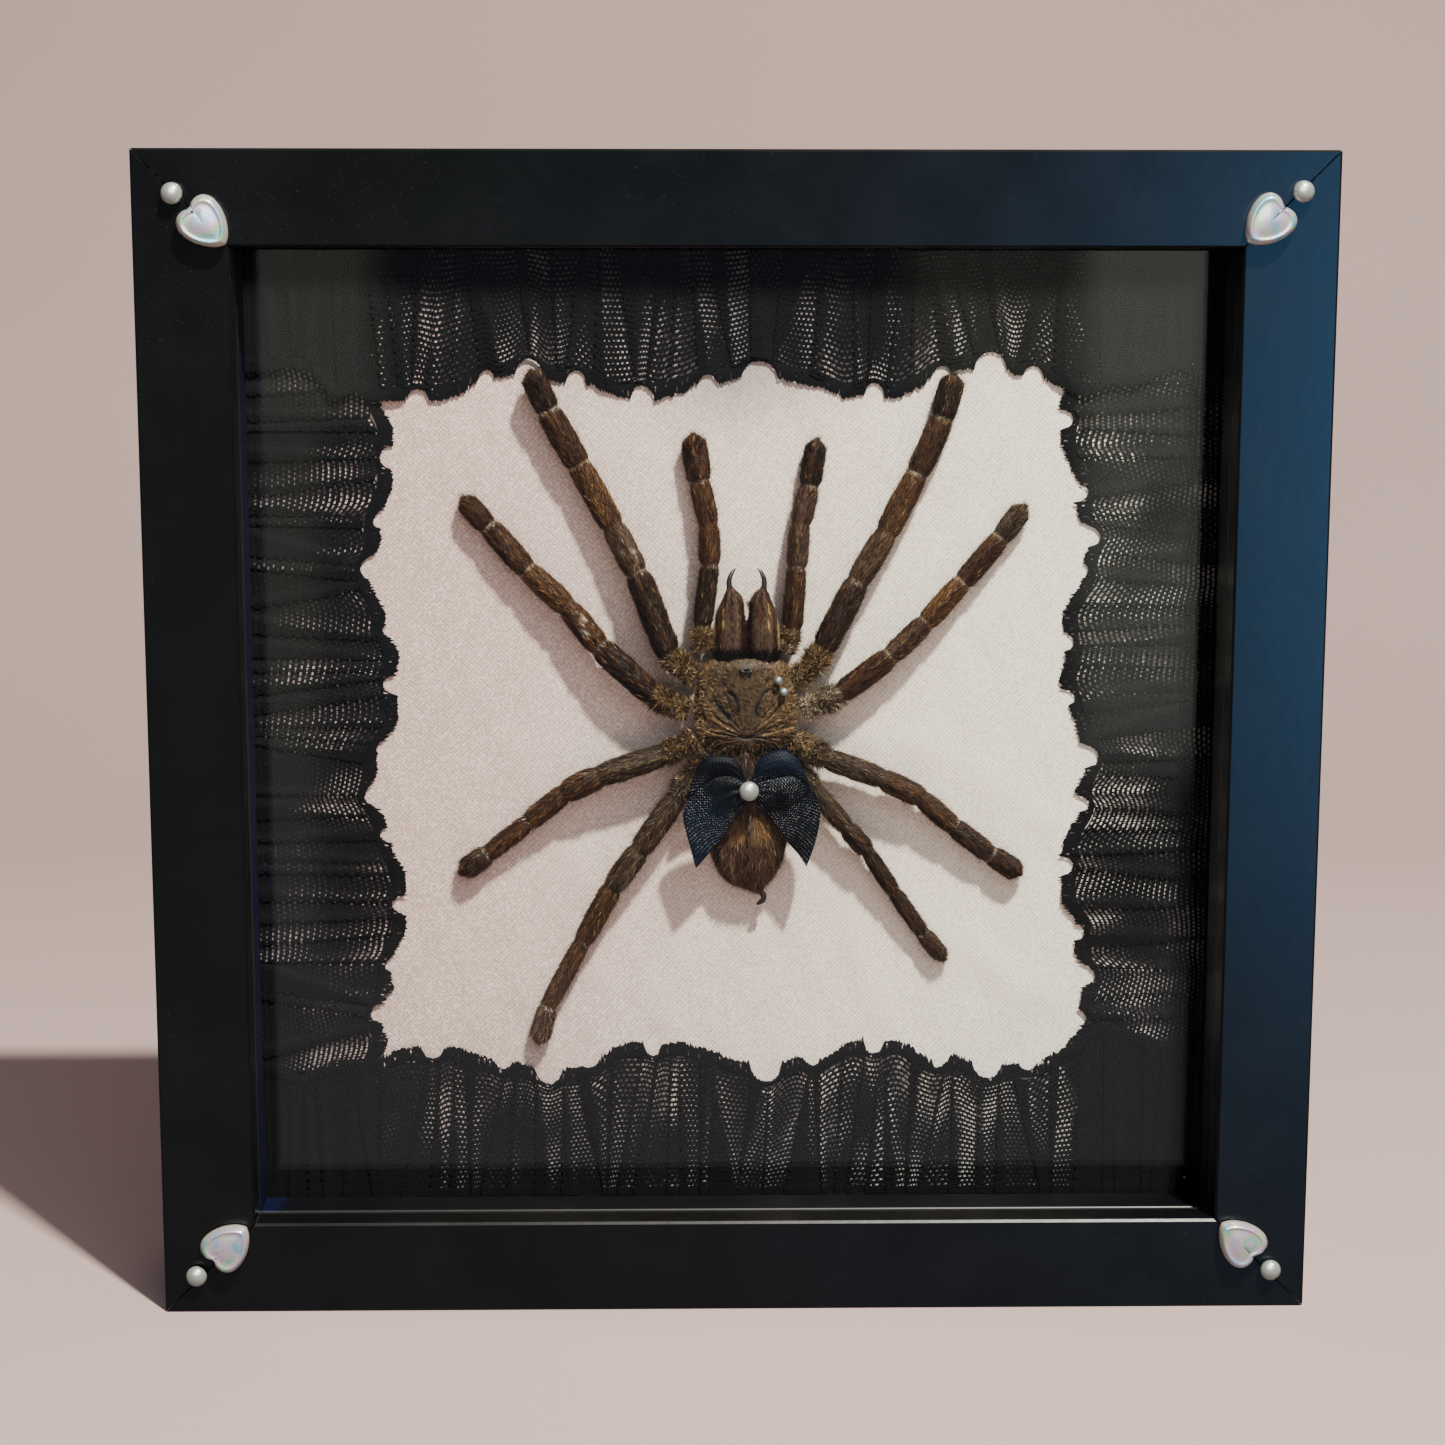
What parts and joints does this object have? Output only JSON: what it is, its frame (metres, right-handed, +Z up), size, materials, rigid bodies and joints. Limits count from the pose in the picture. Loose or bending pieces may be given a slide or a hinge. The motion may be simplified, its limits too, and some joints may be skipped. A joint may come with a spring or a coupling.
{
  "type": "framed tarantula specimen",
  "caption": "Dried tarantula with a ribbon bow, mounted on pale satin with a black lace surround behind glass in a square black shadow box with pearly hearts on its corners.",
  "frame": {"origin": "centre of the footprint on the surface that the bottom rail stands on, with the corner ornaments counted in the depth", "axes": "+Z up; -Y out of the window toward the viewer, +Y toward the wall behind; +X to the viewer's right"},
  "size_m": [0.25, 0.0488, 0.25],
  "materials": {
    "black_foil": "black foil wrapped over moulded fibreboard, satin",
    "black_strip": "black foil wrapped strip, satin",
    "clear_pane": "clear float glass, polished",
    "white_board": "white mount board, matte",
    "brown_fibreboard": "brown hardboard, matte",
    "bright_steel": "zinc plated spring steel",
    "pink_satin": "pale pink polyester satin with a fine diagonal weave, soft sheen",
    "black_net": "black net lace, gathered, with woven scallops",
    "golden_hair": "dried shell with short golden-brown hair",
    "brown_hair": "dried shell with dense brown hair",
    "fang_black": "glossy black horn",
    "black_ribbon": "black-navy woven ribbon, soft sheen",
    "pearl_white": "pearl white with an iridescent coat, glossy"
  },
  "bodies": {
    "root": {"rail_top": "black_foil", "rail_bottom": "black_foil", "rail_left": "black_foil", "rail_right": "black_foil", "front_spacer_top": "black_strip", "front_spacer_bottom": "black_strip", "front_spacer_left": "black_strip", "front_spacer_right": "black_strip", "rear_spacer_top": "black_strip", "rear_spacer_bottom": "black_strip", "rear_spacer_left": "black_strip", "rear_spacer_right": "black_strip", "glazing": "clear_pane", "insert_board": "white_board", "back_panel": "brown_fibreboard", "back_tab_1": "bright_steel", "back_tab_2": "bright_steel", "back_tab_3": "bright_steel", "back_tab_4": "bright_steel", "back_tab_5": "bright_steel", "back_tab_6": "bright_steel", "back_tab_7": "bright_steel", "back_tab_8": "bright_steel", "sawtooth_hanger": "bright_steel", "satin_cloth": "pink_satin", "lace_top": "black_net", "lace_bottom": "black_net", "lace_left": "black_net", "lace_right": "black_net", "carapace": "golden_hair", "abdomen": "brown_hair", "chelicera_left": "brown_hair", "chelicera_right": "brown_hair", "palp_left": "brown_hair", "palp_right": "brown_hair", "leg_1_left": "brown_hair", "leg_1_right": "brown_hair", "leg_2_left": "brown_hair", "leg_2_right": "brown_hair", "leg_3_left": "brown_hair", "leg_3_right": "brown_hair", "leg_4_left": "brown_hair", "leg_4_right": "brown_hair", "fang_left": "fang_black", "fang_right": "fang_black", "ribbon_bow": "black_ribbon", "bow_pearl": "pearl_white", "carapace_pearl_upper": "pearl_white", "carapace_pearl_lower": "pearl_white", "heart_top_left": "pearl_white", "heart_top_right": "pearl_white", "heart_bottom_left": "pearl_white", "heart_bottom_right": "pearl_white", "corner_pearl_top_left": "pearl_white", "corner_pearl_top_right": "pearl_white", "corner_pearl_bottom_left": "pearl_white", "corner_pearl_bottom_right": "pearl_white"}
  },
  "joints": []
}
